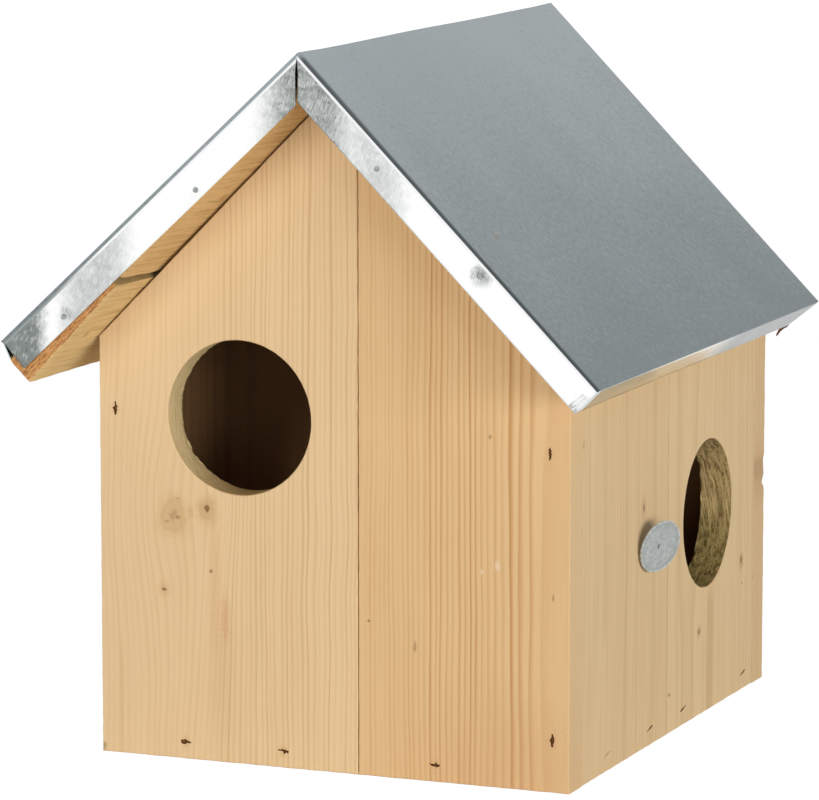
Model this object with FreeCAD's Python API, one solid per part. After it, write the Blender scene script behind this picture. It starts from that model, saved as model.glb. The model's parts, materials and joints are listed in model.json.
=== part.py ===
import FreeCAD, Part
# Squirrel house of softwood boards under a bent zinc sheet, in millimetres.
# The origin is the middle of the walls' footprint, on the underside: X right, Y back, Z up.
import math
import os

from FreeCAD import Vector

# Walls and floor
wall_width = 260.0
wall_depth = 308.0
board_thick = 18.0
board_width = 145.0
side_seam_y = -6.0
apex_height = 349.5

# Entrance holes, and the hole for a hanging screw
hole_radius = 40.0
front_hole_x = -51.0
front_hole_z = 181.0
side_hole_y = 58.0
side_hole_z = 109.0
hang_hole_radius = 4.0
hang_hole_z = 300.0

# Roof boards: lengths are measured down the slope from the ridge
roof_pitch = 45.0
roof_thick = 16.0
ridge_setback = 9.0
left_roof_length = 229.0
right_roof_length = 224.5

# Bent sheet: the left half has sprung up from its boards
sheet_thick = 0.6
sheet_length = 226.0
left_sheet_pitch = 42.7
front_overhang = 42.0
back_overhang = 6.0
left_gable_lip = 19.0
right_gable_lip = 17.0
ridge_slit = 1.4
lip_clearance = 0.2
right_eave_lip = 16.5
rear_corner_cut = 18.0
left_eave_lip = 9.4
left_lip_lean = 18.0

# Staples of square wire, driven in below the surface
wire = 1.2
leg_length = 35.0
sink = 1.0
slot_play = 0.4
narrow_crown = 6.5
wide_crown = 9.5
floor_staple_z = 9.0
side_staple_tilt = 13.0

# Nails through the sheet's lips, and the nail that holds the tag
nail_radius = 0.9
nail_length = 25.0
nail_head_radius = 2.2
nail_head_thick = 0.8

# Round tag that stands askew on its nail
tag_radius = 14.5
tag_thick = 1.0
rim_width = 1.2
rim_height = 0.5
tag_normal = Vector(0.886, -0.395, -0.242)
tag_wall_gap = 0.5
tag_play = 0.06
tag_y = -41.2
tag_z = 108.4

# Sizes that follow from those above
half_width = wall_width / 2
half_depth = wall_depth / 2
inner_x = half_width - board_thick
inner_y = half_depth - board_thick
front_seam_x = board_width - half_width
floor_seam_y = board_width - inner_y
pitch = math.radians(roof_pitch)
board_ridge = apex_height + roof_thick / math.cos(pitch)
sheet_ridge = board_ridge + sheet_thick / math.cos(pitch)
upper_board_end = ridge_setback + board_width
sheet_front = -half_depth - front_overhang
sheet_back = half_depth + back_overhang
roof_front = sheet_front + sheet_thick + lip_clearance
roof_back = sheet_back - sheet_thick - lip_clearance

LEFT, RIGHT = -1, 1
sheet_pitch = {LEFT: left_sheet_pitch, RIGHT: roof_pitch}
gable_lip = {LEFT: left_gable_lip, RIGHT: right_gable_lip}
roof_length = {LEFT: left_roof_length, RIGHT: right_roof_length}
side_name = {LEFT: "left", RIGHT: "right"}


def prism(points, depth):
    """Solid with a flat outline, drawn out along the vector depth."""
    return Part.Face(Part.makePolygon(points + points[:1])).extrude(depth)


def across(outline, y_low, y_high):
    """Solid with an outline of x and z, from one y to another."""
    points = [Vector(x, y_low, z) for x, z in outline]
    return prism(points, Vector(0, y_high - y_low, 0))


def block(low, high):
    """Box between two corners."""
    return Part.makeBox(*(high - low), low)


def bar(start, direction, radius, length):
    """Round bar."""
    return Part.makeCylinder(radius, length, start, direction)


def on_slope(side, down, out, degrees, ridge):
    """Point of a roof slope as x and z: down from the ridge, then out of the surface."""
    angle = math.radians(degrees)
    x = side * (down * math.cos(angle) + out * math.sin(angle))
    z = ridge - down * math.sin(angle) + out * math.cos(angle)
    return x, z


def on_boards(side, down, out):
    """Point measured from the top of the roof boards."""
    return on_slope(side, down, out, roof_pitch, board_ridge)


def on_sheet(side, down, out):
    """Point measured from the outside of the sheet."""
    return on_slope(side, down, out, sheet_pitch[side], sheet_ridge)


def gable_boards(y_low, y_high):
    """The two upright boards of a gable wall, left and right of their seam."""
    eave = apex_height - half_width
    seam_top = apex_height - front_seam_x
    seam = [(front_seam_x, 0), (front_seam_x, seam_top)]
    left = [(-half_width, 0)] + seam + [(0, apex_height), (-half_width, eave)]
    right = [(half_width, 0), (half_width, eave)] + seam[::-1]
    return across(left, y_low, y_high), across(right, y_low, y_high)


def side_board(side, y_low, y_high):
    """Upright board of a side wall, its top cut to the slope of the roof."""
    outline = [
        (side * inner_x, 0),
        (side * half_width, 0),
        (side * half_width, apex_height - half_width),
        (side * inner_x, apex_height - inner_x),
    ]
    return across(outline, y_low, y_high)


def wall_boards():
    """Front, back and side walls with their holes."""
    boards = {}
    boards["front_board_left"], boards["front_board_right"] = gable_boards(-half_depth, -inner_y)
    boards["back_board_left"], boards["back_board_right"] = gable_boards(inner_y, half_depth)
    for side in (LEFT, RIGHT):
        boards[side_name[side] + "_side_front_board"] = side_board(side, -inner_y, side_seam_y)
        boards[side_name[side] + "_side_back_board"] = side_board(side, side_seam_y, inner_y)
    holes = {
        "front_board_left": bar(
            Vector(front_hole_x, -half_depth, front_hole_z), Vector(0, 1, 0), hole_radius, board_thick
        ),
        "right_side_back_board": bar(
            Vector(inner_x, side_hole_y, side_hole_z), Vector(1, 0, 0), hole_radius, board_thick
        ),
        "back_board_left": bar(
            Vector(0, inner_y, hang_hole_z), Vector(0, 1, 0), hang_hole_radius, board_thick
        ),
    }
    for name, hole in holes.items():
        boards[name] = boards[name].cut(hole)
    return boards


def floor_boards():
    """Two boards that lie between the walls, flush with their lower edges."""
    front = block(Vector(-inner_x, -inner_y, 0), Vector(inner_x, floor_seam_y, board_thick))
    back = block(Vector(-inner_x, floor_seam_y, 0), Vector(inner_x, inner_y, board_thick))
    return {"floor_front_board": front, "floor_back_board": back}


def roof_boards():
    """Two boards on each slope; the upper ones meet at the ridge in a plumb cut."""
    boards = {}
    for side in (LEFT, RIGHT):
        upper = [
            (ridge_setback, 0),
            (upper_board_end, 0),
            (upper_board_end, -roof_thick),
            (roof_thick, -roof_thick),
            (ridge_setback, -ridge_setback),
        ]
        lower = [
            (upper_board_end, 0),
            (roof_length[side], 0),
            (roof_length[side], -roof_thick),
            (upper_board_end, -roof_thick),
        ]
        for level, outline in (("upper", upper), ("lower", lower)):
            points = [on_boards(side, down, out) for down, out in outline]
            boards[f"roof_{side_name[side]}_{level}_board"] = across(points, roof_front, roof_back)
    return boards


def sheet_skin():
    """The two slopes of the sheet, bent at the ridge."""
    tangent = {side: math.tan(math.radians(sheet_pitch[side])) for side in (LEFT, RIGHT)}
    drop = {side: sheet_thick / math.cos(math.radians(sheet_pitch[side])) for side in (LEFT, RIGHT)}
    inner_ridge_x = (drop[LEFT] - drop[RIGHT]) / (tangent[LEFT] + tangent[RIGHT])
    inner_ridge_z = sheet_ridge - drop[RIGHT] - inner_ridge_x * tangent[RIGHT]
    outline = [
        on_sheet(LEFT, sheet_length, 0),
        (0, sheet_ridge),
        on_sheet(RIGHT, sheet_length, 0),
        on_sheet(RIGHT, sheet_length, -sheet_thick),
        (inner_ridge_x, inner_ridge_z),
        on_sheet(LEFT, sheet_length, -sheet_thick),
    ]
    return across(outline, sheet_front, sheet_back)


def gable_lips():
    """Lips folded down over the ends of the roof boards, slit at the ridge."""
    lips = []
    for side in (LEFT, RIGHT):
        angle = math.radians(sheet_pitch[side])
        lip = gable_lip[side]
        top = ridge_slit / 2 / math.cos(angle)
        bottom = top + lip * math.tan(angle)
        corners = [(top, 0), (sheet_length, 0), (sheet_length, -lip), (bottom, -lip)]
        outline = [on_sheet(side, down, out) for down, out in corners]
        lips.append(across(outline, sheet_front, sheet_front + sheet_thick))
        lips.append(across(outline, sheet_back - sheet_thick, sheet_back))
    return lips


def right_eave_strip():
    """Lip folded over the right eave, its rear corner cut off at an angle."""
    corners = [
        (sheet_front, 0),
        (sheet_back, 0),
        (sheet_back - rear_corner_cut, -right_eave_lip),
        (sheet_front, -right_eave_lip),
    ]
    points = []
    for y, out in corners:
        x, z = on_sheet(RIGHT, sheet_length - sheet_thick, out)
        points.append(Vector(x, y, z))
    down_slope = Vector(math.cos(pitch), 0, -math.sin(pitch))
    return prism(points, down_slope * sheet_thick)


def left_eave_strip():
    """Short lip at the left eave, leaning outward."""
    lean = math.radians(left_lip_lean)
    reach = left_eave_lip * math.sin(lean)
    drop = left_eave_lip * math.cos(lean)
    corners = [
        (sheet_length - sheet_thick, 0),
        (sheet_length, 0),
        (sheet_length + reach, -drop),
        (sheet_length + reach - sheet_thick, -drop),
    ]
    outline = [on_sheet(LEFT, down, out) for down, out in corners]
    return across(outline, sheet_front + sheet_thick, sheet_back - sheet_thick)


def roof_sheet():
    """The whole sheet, one piece of metal."""
    pieces = gable_lips() + [right_eave_strip(), left_eave_strip()]
    return sheet_skin().fuse(pieces).removeSplitter()


def staple_pair(place, crown_way, drive_way, crown):
    """A staple below the surface at place, and the slot that its crown leaves in the board."""
    across_way = crown_way.cross(drive_way)
    head = place + drive_way * sink
    outline = [
        (-crown / 2, 0),
        (crown / 2, 0),
        (crown / 2, leg_length),
        (crown / 2 - wire, leg_length),
        (crown / 2 - wire, wire),
        (wire - crown / 2, wire),
        (wire - crown / 2, leg_length),
        (-crown / 2, leg_length),
    ]
    start = head - across_way * (wire / 2)
    points = [start + crown_way * along + drive_way * deep for along, deep in outline]
    staple = prism(points, across_way * wire)
    half = crown / 2 + slot_play
    slot_start = place - across_way * (wire / 2 + slot_play)
    rectangle = [(-half, 0), (half, 0), (half, sink), (-half, sink)]
    slot_points = [slot_start + crown_way * along + drive_way * deep for along, deep in rectangle]
    slot = prism(slot_points, across_way * (wire + 2 * slot_play))
    return staple, slot


def gable_staples(side_y, places, upright):
    """Staples through a gable wall at places of x and z, with the crown upright or level."""
    inward = Vector(0, 1 if side_y < 0 else -1, 0)
    crown_way = Vector(0, 0, 1) if upright else Vector(1, 0, 0)
    return [staple_pair(Vector(x, side_y, z), crown_way, inward, narrow_crown) for x, z in places]


def side_floor_staples(side):
    """Slanted staples through a side wall into the floor."""
    tilt = math.radians(side_staple_tilt)
    crown_way = Vector(0, math.cos(tilt), math.sin(tilt))
    places = [Vector(side * half_width, y, floor_staple_z) for y in (-98.0, -33.0, 20.0, 119.0)]
    return [staple_pair(place, crown_way, Vector(-side, 0, 0), wide_crown) for place in places]


def roof_staples(side):
    """Staples down through the roof boards into the edges of both gable walls."""
    inward = Vector(-side * math.sin(pitch), 0, -math.cos(pitch))
    pairs = []
    for y in (-half_depth + board_thick / 2, half_depth - board_thick / 2):
        for down in (62.0, 135.0, 166.0, 188.0):
            x, z = on_boards(side, down, 0)
            pairs.append(staple_pair(Vector(x, y, z), Vector(0, 1, 0), inward, narrow_crown))
    return pairs


def staple_groups():
    """Every group of staples, each a list of staples with their slots."""
    edge_x = half_width - board_thick / 2
    return {
        "front_wall_staples": gable_staples(
            -half_depth, [(-edge_x, 182.0), (edge_x - 2.0, 173.0), (edge_x, 27.0)], True
        ),
        "front_floor_staples": gable_staples(
            -half_depth, [(-82.0, floor_staple_z), (-27.0, floor_staple_z), (57.0, floor_staple_z)], False
        ),
        "back_wall_staples": gable_staples(
            half_depth, [(-edge_x, 175.0), (-edge_x, 50.0), (edge_x, 175.0), (edge_x, 50.0)], True
        ),
        "back_floor_staples": gable_staples(
            half_depth, [(-75.0, floor_staple_z), (-20.0, floor_staple_z), (70.0, floor_staple_z)], False
        ),
        "right_floor_staples": side_floor_staples(RIGHT),
        "left_floor_staples": side_floor_staples(LEFT),
        "roof_right_staples": roof_staples(RIGHT),
        "roof_left_staples": roof_staples(LEFT),
    }


def nail(head_seat, drive_way, length):
    """Round nail with a flat head that bears on head_seat."""
    shank = bar(head_seat, drive_way, nail_radius, length)
    head = bar(head_seat - drive_way * nail_head_thick, drive_way, nail_head_radius, nail_head_thick)
    return shank.fuse(head)


def sheet_nails():
    """Nails through the gable lips into the end grain of the roof boards."""
    front_places = [(-55.5, 302.4), (-129.7, 234.4), (42.7, 317.0), (97.3, 266.6)]
    nails = [nail(Vector(x, sheet_front, z), Vector(0, 1, 0), nail_length) for x, z in front_places]
    for side in (LEFT, RIGHT):
        for down in (75.0, 185.0):
            x, z = on_boards(side, down, -roof_thick / 2)
            nails.append(nail(Vector(x, sheet_back, z), Vector(0, -1, 0), nail_length))
    return nails


def tag_pieces():
    """The round tag with a raised rim, and the slanted nail that it turns on."""
    normal = Vector(tag_normal).normalize()
    slant = math.sqrt(1 - normal.x ** 2)
    out = tag_wall_gap + tag_radius * slant
    back = Vector(half_width + out, tag_y, tag_z)
    disc = bar(back, normal, tag_radius, tag_thick + rim_height)
    face = back + normal * tag_thick
    disc = disc.cut(bar(face, normal, tag_radius - rim_width, rim_height))
    disc = disc.cut(bar(back, normal, nail_radius + tag_play, tag_thick))
    head_seat = face + normal * tag_play
    return {"tag_disc": disc, "tag_nail": nail(head_seat, normal * -1, nail_length)}


def main():
    boards = {**wall_boards(), **floor_boards(), **roof_boards()}
    groups = staple_groups()
    slots = [slot for pairs in groups.values() for _, slot in pairs]
    solids = {name: board.cut(slots) for name, board in boards.items()}
    solids["roof_sheet"] = roof_sheet()
    solids["sheet_nails"] = Part.makeCompound(sheet_nails())
    for name, pairs in groups.items():
        solids[name] = Part.makeCompound([staple for staple, _ in pairs])
    solids.update(tag_pieces())
    os.makedirs("parts", exist_ok=True)
    for name, solid in solids.items():
        solid.exportStep(f"parts/{name}.step")


main()
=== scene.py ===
import json
import math
import random

import bmesh
import bpy
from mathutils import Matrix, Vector, noise


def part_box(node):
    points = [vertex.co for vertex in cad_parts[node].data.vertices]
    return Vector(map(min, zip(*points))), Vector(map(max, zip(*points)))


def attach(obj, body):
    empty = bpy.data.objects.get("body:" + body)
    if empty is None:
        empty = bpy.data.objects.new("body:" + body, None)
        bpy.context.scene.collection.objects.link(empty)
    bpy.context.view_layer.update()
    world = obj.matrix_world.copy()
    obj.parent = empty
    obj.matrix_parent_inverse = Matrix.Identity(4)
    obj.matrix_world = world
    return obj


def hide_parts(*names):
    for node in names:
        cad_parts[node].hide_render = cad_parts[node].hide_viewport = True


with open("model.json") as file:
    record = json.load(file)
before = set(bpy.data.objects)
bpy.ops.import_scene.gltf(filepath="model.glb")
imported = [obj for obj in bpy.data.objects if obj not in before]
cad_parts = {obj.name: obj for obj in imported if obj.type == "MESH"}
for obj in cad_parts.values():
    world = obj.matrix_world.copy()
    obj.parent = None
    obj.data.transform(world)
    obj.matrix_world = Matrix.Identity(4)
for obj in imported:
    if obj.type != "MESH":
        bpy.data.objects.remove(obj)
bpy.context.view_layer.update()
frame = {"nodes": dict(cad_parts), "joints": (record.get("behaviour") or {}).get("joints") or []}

LEFT, RIGHT = -1, 1
SIDE_NAME = {LEFT: "left", RIGHT: "right"}

# Sizes of the walls, read from the frame in metres
front_low, front_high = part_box("front_board_left")
HALF_WIDTH = -front_low.x
HALF_DEPTH = -front_low.y
THICK = front_high.y - front_low.y
APEX = front_high.z
SEAM_X = front_high.x
EAVE = APEX - HALF_WIDTH
INNER_X = HALF_WIDTH - THICK
INNER_Y = HALF_DEPTH - THICK
SIDE_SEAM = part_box("right_side_front_board")[1].y
FLOOR_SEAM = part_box("floor_front_board")[1].y

# Entrance holes and the hanging hole
HOLE_RADIUS = 0.04
FRONT_HOLE = (-0.051, 0.181)
SIDE_HOLE = (0.058, 0.109)
HANG_RADIUS = 0.004
HANG_HOLE = (0.0, 0.3)
FRONT_TEAR = 0.00015
SIDE_TEAR = 0.0006
HANG_TEAR = 0.00005

# Rims of the holes: points round them, roughness, and chips just before the inner face and on it
ENTRANCE_RIM = (240, 0.0001, 16, 30)
HANGING_RIM = (40, 0.00004, 0, 2)
RIM_STEPS = 11
RIM_END = 0.0012
FURROW_START = 0.002
RIM_CHIP = (-0.0008, 0.0018)

# Staples
FLOOR_STAPLE_Z = 0.009
STAPLE_X = HALF_WIDTH - THICK / 2
SIDE_STAPLES = (-0.098, -0.033, 0.02, 0.119)
SIDE_SLANT = math.radians(13)

# Roof boards: distances down the slope from the ridge
ROOF_PITCH = math.radians(45)
ROOF_THICK = 0.016
RIDGE_SETBACK = 0.009
UPPER_END = 0.154
ROOF_END = {LEFT: 0.229, RIGHT: 0.2245}
ROOF_JOINT = {LEFT: 0.0017, RIGHT: 0.0003}
RIDGE_CONTACT = 0.0132
BOARD_RIDGE = APEX + ROOF_THICK / math.cos(ROOF_PITCH)
ROOF_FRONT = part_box("roof_left_upper_board")[0].y
ROOF_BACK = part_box("roof_left_upper_board")[1].y
FRONT_WARP = 0.003
WARP_START = -0.115
END_PLAY = 0.001

# Bent sheet
SHEET_LOW, SHEET_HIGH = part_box("roof_sheet")
SHEET_THICK = 0.0006
SHEET_LENGTH = 0.226
SHEET_PITCH = {LEFT: math.radians(42.7), RIGHT: ROOF_PITCH}
GABLE_LIP = {LEFT: 0.019, RIGHT: 0.017}
RIDGE_SLIT = 0.0016
FOLD_RADIUS = 0.0022
# Drops below the slope between which the front bend takes the painted highlight metal
HIGHLIGHT_BEND = {LEFT: (-0.0022, -0.0035), RIGHT: (-0.001, -0.0022)}
BACK_FOLD = 0.0006
EAVE_FOLD = 0.0016
REAR_SKEW = 0.004
LEFT_LIP_SHORT = 0.0014
REAR_LIP_SLANT = 0.6
RIGHT_LIP = 0.0165
REAR_CUT = 0.018
LEFT_LIP = 0.0106
LEFT_LEAN = math.radians(18)
FRONT_NAILS = ((-0.0555, 0.3024), (-0.1297, 0.2344), (0.0427, 0.317), (0.0973, 0.2666))
BACK_NAIL_DOWN = (0.075, 0.185)
NAIL_LENGTH = 0.022
NAIL_SEAT = 0.0006
TAG_NAIL_LENGTH = 0.025
TAG_NAIL_SEAT = 0.00106
NAIL_DENT = 0.0005
DENT_RADIUS = 0.0032
LIP_RIPPLE = 0.00013
EAVE_RIPPLE = 0.0004
TOP_WAVE = 0.0004

# Fineness of the meshes of the sheet, the nails and the tag
NAIL_SIDES = 24
TAG_SIDES = 96
SHEET_COLUMNS = 160
TOP_STEPS = 60
LIP_STEPS = 14
FOLD_STEPS = 8
EAVE_FOLD_STEPS = 6
EAVE_LIP_STEPS = 8

# View and studio
LENS = 219.5
EYE = (0.988, -2.453, 0.5832)
EYE_DOWN = 8.857
EYE_TURN = 22.339
FLOOR_HALF = 30
FLOOR_DROP = 0.0002
AMBIENT = 0.1
FLOOR_GLOW = 0.955
BOUNCE_GREY = (0.76, 0.76, 0.76)
SHADE_GREY = (0.2, 0.2, 0.2)

# Softened edges, joints between boards and the wear along them
BEVEL = 0.0004
INNER_BEVEL = 0.0001
JOINT_GAP = 0.00015
SIDE_GAP = 0.0004
HIDDEN_GAP = -0.00025
ROOF_GAP = 0.0003
WEAR = 0.00022
EDGE_STEP = 0.004
CHIP_DEPTH = 0.004
SHARP_ANGLE = math.radians(32)

# Reach of a slanted top's edge, share of a dent left at its bottom, and the mesh of the sawn boards
TOP_BAND = 0.002
PIT_FLOOR = 0.55
SAWN_STEP = 0.003
SAWN_WEAR = 0.001
SAWN_SPANS = 50

# Colours, as linear values: pairs are light and dark, and the cuts have a stain as well
PALE_PINE = ((0.79, 0.568, 0.322), (0.57, 0.36, 0.17))
SIDE_PINE = ((0.79, 0.572, 0.318), (0.56, 0.365, 0.165))
LIGHT_PINE = ((0.825, 0.608, 0.34), (0.58, 0.382, 0.173))
WARM_PINE = ((0.75, 0.506, 0.258), (0.52, 0.256, 0.09))
# The upper roof boards take a darker, redder tone than the lower ones as painted shade.
ROUGH_PINE = {
    "upper": ((0.775, 0.53, 0.24), (0.495, 0.293, 0.107)),
    "lower": ((0.8, 0.58, 0.272), (0.525, 0.328, 0.124)),
}
# Wood inside the chamber, darkened with painted shade
CHAMBER_SHADE_PINE = ((0.42, 0.23, 0.1), (0.225, 0.108, 0.041))
KNOT_BROWN = (0.15, 0.068, 0.022)
RESIN_BROWN = (0.18, 0.08, 0.028)
PINK_BROWN = (0.61, 0.345, 0.17)
PAINTED_SEAM_SHADE = (0.26, 0.15, 0.065)
PAINTED_JOINT_SHADE = (0.2, 0.14, 0.055)
PALE_SCAR = (0.84, 0.68, 0.5)
PIT_BLACK = (0.06, 0.022, 0.006)
PIT_BROWN = (0.4, 0.2, 0.075)
END_TINT = (0.84, 0.52, 0.35)
END_STREAK = (0.225, 0.068, 0.02)
SPLINTER_DARK = (0.028, 0.01, 0.005)
SPLINTER_LIGHT = (0.26, 0.09, 0.03)
FRONT_CUT = ((0.92, 0.7, 0.37), (0.75, 0.545, 0.255), (0.75, 0.7, 0.6))
BACK_CUT = ((0.7, 0.5, 0.27), (0.42, 0.28, 0.13), (0.7, 0.62, 0.5))
SIDE_CUT = ((0.8, 0.58, 0.26), (0.24, 0.15, 0.048), (0.52, 0.55, 0.36))
BRIGHT_ZINC = (0.96, 0.97, 0.962)
DULL_ZINC = (0.225, 0.25, 0.237)
NAIL_ZINC = ((0.25, 0.268, 0.262), (0.52, 0.54, 0.532))
TAG_NAIL_ZINC = ((0.41, 0.433, 0.418), (0.49, 0.512, 0.498))
RUSTY_WIRE = ((0.06, 0.022, 0.006), (0.26, 0.115, 0.04))


class Face:
    """Outer face of a board: u runs across the grain, v along it, and depth goes into the wood."""

    def __init__(self, origin, across, along):
        self.origin = Vector(origin)
        self.u = Vector(across)
        self.v = Vector(along)
        self.out = self.u.cross(self.v)

    def point(self, u, v, depth=0.0):
        return self.origin + self.u * u + self.v * v - self.out * depth

    def loop(self, bm, points, depth=0.0):
        return [bm.verts.new(self.point(p.x, p.y, depth)) for p in points]


def slope_face(side):
    """Top of the roof boards of one side, with the grain along the ridge."""
    down = (side * math.cos(ROOF_PITCH), 0, -math.sin(ROOF_PITCH))
    return Face((0, 0, BOARD_RIDGE), down, (0, side, 0))


FRONT = Face((0, -HALF_DEPTH, 0), (1, 0, 0), (0, 0, 1))
BACK = Face((0, HALF_DEPTH, 0), (-1, 0, 0), (0, 0, 1))
RIGHT_SIDE = Face((HALF_WIDTH, 0, 0), (0, 1, 0), (0, 0, 1))
LEFT_SIDE = Face((-HALF_WIDTH, 0, 0), (0, -1, 0), (0, 0, 1))
UNDERSIDE = Face((0, 0, 0), (0, 1, 0), (1, 0, 0))


# Materials

class Value:
    """Output of a node, with arithmetic for numbers."""

    def __init__(self, graph, socket):
        self.graph = graph
        self.socket = socket

    def __add__(self, other):
        return self.graph.math("ADD", self, other)

    def __sub__(self, other):
        return self.graph.math("SUBTRACT", self, other)

    def __mul__(self, other):
        return self.graph.math("MULTIPLY", self, other)

    def __truediv__(self, other):
        return self.graph.math("DIVIDE", self, other)

    def __abs__(self):
        return self.graph.math("ABSOLUTE", self)


class Graph:
    """Node graph of a material or of the world."""

    def __init__(self, owner):
        owner.use_nodes = True
        self.owner = owner
        self.tree = owner.node_tree

    def put(self, socket, value):
        if isinstance(value, Value):
            self.tree.links.new(value.socket, socket)
        elif socket.type == "RGBA":
            socket.default_value = (*value, 1)
        else:
            socket.default_value = value

    def node(self, kind, inputs, output=0, **settings):
        made = self.tree.nodes.new("ShaderNode" + kind)
        for key, value in settings.items():
            setattr(made, key, value)
        for key, value in inputs.items():
            self.put(made.inputs[key], value)
        return Value(self, made.outputs[output])

    def math(self, operation, *values):
        return self.node("Math", dict(enumerate(values)), operation=operation)

    def vector(self, *values):
        return self.node("CombineXYZ", dict(enumerate(values)))

    def dot(self, vector, direction):
        return self.node("VectorMath", {0: vector, 1: direction}, "Value", operation="DOT_PRODUCT")

    def length(self, u, v):
        """Length of the vector with the parts u and v."""
        return self.math("SQRT", self.math("POWER", u, 2) + self.math("POWER", v, 2))

    def noise(self, vector, scale=1.0, detail=2, roughness=0.5):
        inputs = {"Vector": vector, "Scale": scale, "Detail": detail, "Roughness": roughness}
        return self.node("TexNoise", inputs)

    def step(self, value, low, high):
        """Smooth rise from 0 at low to 1 at high; it falls where low is above high."""
        inputs = {"Value": value, "From Min": low, "From Max": high}
        return self.node("MapRange", inputs, interpolation_type="SMOOTHSTEP")

    def clamp(self, value):
        return self.node("Clamp", {"Value": value})

    def mix(self, share, first, second, blend="MIX"):
        inputs = {"Fac": share, "Color1": first, "Color2": second}
        return self.node("MixRGB", inputs, blend_type=blend)

    def place(self):
        return self.node("TexCoord", {}, "Object")

    def surface(self, relief=None, **values):
        """The material with its shader's inputs set; relief is a bump's height, strength and depth."""
        shader = self.tree.nodes["Principled BSDF"]
        for key, value in values.items():
            self.put(shader.inputs[key.replace("_", " ")], value)
        if relief:
            bump = self.node("Bump", dict(zip(("Height", "Strength", "Distance"), relief)))
            self.put(shader.inputs["Normal"], bump)
        return self.owner


def new_material(name):
    return Graph(bpy.data.materials.new(name))


class Grain:
    """Coordinates of a board in millimetres: u across, v along and w out of its face."""

    def __init__(self, graph, face):
        self.graph = graph
        place = graph.place()
        self.u = graph.dot(place, face.u * 1000) - face.origin.dot(face.u) * 1000
        self.v = graph.dot(place, face.v * 1000)
        self.w = graph.dot(place, face.out * 1000) - face.origin.dot(face.out) * 1000

    def scaled(self, u, v, w, across=None):
        """The coordinates stretched by a factor each, for a texture."""
        return self.graph.vector((across or self.u) * u, self.v * v, self.w * w)

    def oval(self, u, v, half_u, half_v):
        """Distance from an oval's centre, 1 on its edge."""
        return self.graph.length((self.u - u) / half_u, (self.v - v) / half_v)


def bent_across(g, grain, knots, wave, seed):
    """The across coordinate, waving along the grain and flowing round the knots."""
    shift = g.vector(seed, seed * 0.7, 0.0)
    slow = g.noise(g.node("VectorMath", {0: grain.scaled(0.008, 0.0055, 0.0), 1: shift}))
    quick = g.noise(g.node("VectorMath", {0: grain.scaled(0.03, 0.028, 0.0), 1: shift}))
    bent = grain.u + (slow - 0.5) * wave + (quick - 0.5) * (wave * 0.08)
    for u, v, size, _ in knots:
        far = grain.oval(u, v, size * 2.4, size * 6.5)
        near = g.math("POWER", 2.718, g.math("POWER", far, 2) * -1.0)
        bent = bent + (grain.u - u) * (near * -0.78)
    return bent


def growth_rings(g, grain, across, pith, width, start, seed):
    """Latewood strength, 0 to 1, of the rings round the pith; start is where a ring begins to darken."""
    radius = g.length(across - pith[0], grain.w - pith[1])
    uneven = g.noise(g.vector(radius * 0.11, grain.v * 0.002, seed), 1.0, 3)
    turns = (uneven * (width * 2.6) + radius) / width
    phase = g.math("FRACT", turns)
    late = g.step(phase, start, 0.9) * g.step(phase, 1.0, 0.92)
    chance = g.node("TexWhiteNoise", {"W": g.math("FLOOR", turns) + seed}, noise_dimensions="1D")
    return late * (chance * 0.75 + 0.25)


def knot_marks(g, grain, colour, dark, knots, seed):
    """Knots with a tan halo, faint rings and a dark broken core."""
    wander = g.noise(g.vector(grain.u, grain.v, seed), 0.17, 3, 0.6) - 0.5
    for u, v, size, strength in knots:
        far = wander * 1.3 + grain.oval(u, v, size, size * 1.2)
        colour = g.mix(g.step(far, 1.7, 0.3) * (0.72 * strength), colour, dark)
        rings = g.step(g.math("SINE", far * 11), -0.5, 1.0)
        colour = g.mix(rings * g.step(far, 1.4, 0.6) * (0.42 * strength), colour, dark)
        colour = g.mix(g.step(far, 0.3, 0.06) * (0.95 * strength ** 4), colour, KNOT_BROWN)
    return colour


def spots(g, grain, colour, tint, marks):
    """Soft uneven spots of a tint, each with half its width and height and its strength."""
    wander = g.noise(g.vector(grain.u, grain.v, grain.w), 0.55, 3, 0.6) - 0.5
    for u, v, half_u, half_v, strength in marks:
        far = wander * 1.1 + grain.oval(u, v, half_u, half_v)
        colour = g.mix(g.step(far, 1.3, 0.3) * strength, colour, tint)
    return colour


def heart_stripes(g, grain, colour, across, dark, stripes):
    """Darker stripes along the grain from low to high, with their half width and strength."""
    for u, low, high, half, strength in stripes:
        inside = g.step(grain.v, low, low + 20) * g.step(grain.v, high, high - 20)
        band = g.step(abs(across - u), half, half * 0.6) * (inside * strength)
        colour = g.mix(band, colour, dark)
    return colour


def facing(g, direction, full):
    """1 where a surface faces along a direction, either way."""
    normal = g.node("NewGeometry", {}, "Normal")
    return g.step(abs(g.dot(normal, direction)), 0.6, full)


def cut_faces(g, grain, face, colour, edge_tone_and_shade):
    """The colour with redder, streaked end grain and with a tone on the long edges, which on the roof boards
    and the right wall is painted shade for the joints.
    """
    end = facing(g, face.v, 0.9)
    colour = g.mix(end * 0.8, colour, END_TINT, blend="MULTIPLY")
    streak = g.noise(grain.scaled(0.3, 0.1, 1.5), 1.0, 4, 0.7)
    colour = g.mix(end * (g.step(streak, 0.42, 0.68) * 0.88), colour, END_STREAK)
    return g.mix(facing(g, face.u, 0.95) * 0.65, colour, edge_tone_and_shade)


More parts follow.
